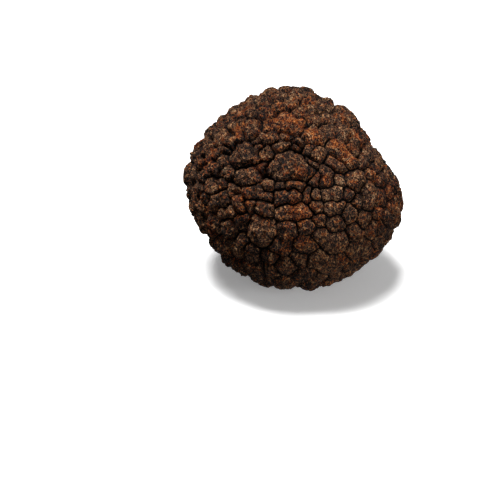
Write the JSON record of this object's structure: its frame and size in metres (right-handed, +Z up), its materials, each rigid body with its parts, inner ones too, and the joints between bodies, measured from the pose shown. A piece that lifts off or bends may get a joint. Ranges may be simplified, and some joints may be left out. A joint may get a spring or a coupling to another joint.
{
  "type": "black truffle",
  "caption": "Whole black truffle, a knobbly rounded fruit body covered in coarse warts, resting on a small flat spot.",
  "frame": {"origin": "the middle of the box around the truffle, at its lowest face, which lies within the flat spot it rests on", "axes": "+Z up, +X along its broadest width, -Y towards its face, where the largest warts are"},
  "size_m": [0.066, 0.062, 0.058],
  "materials": {
    "truffle_skin": "dry, rough skin of dark brown warts with rust-brown granules and near-black cracks between them"
  },
  "bodies": {
    "root": {"truffle": "truffle_skin"}
  },
  "joints": []
}
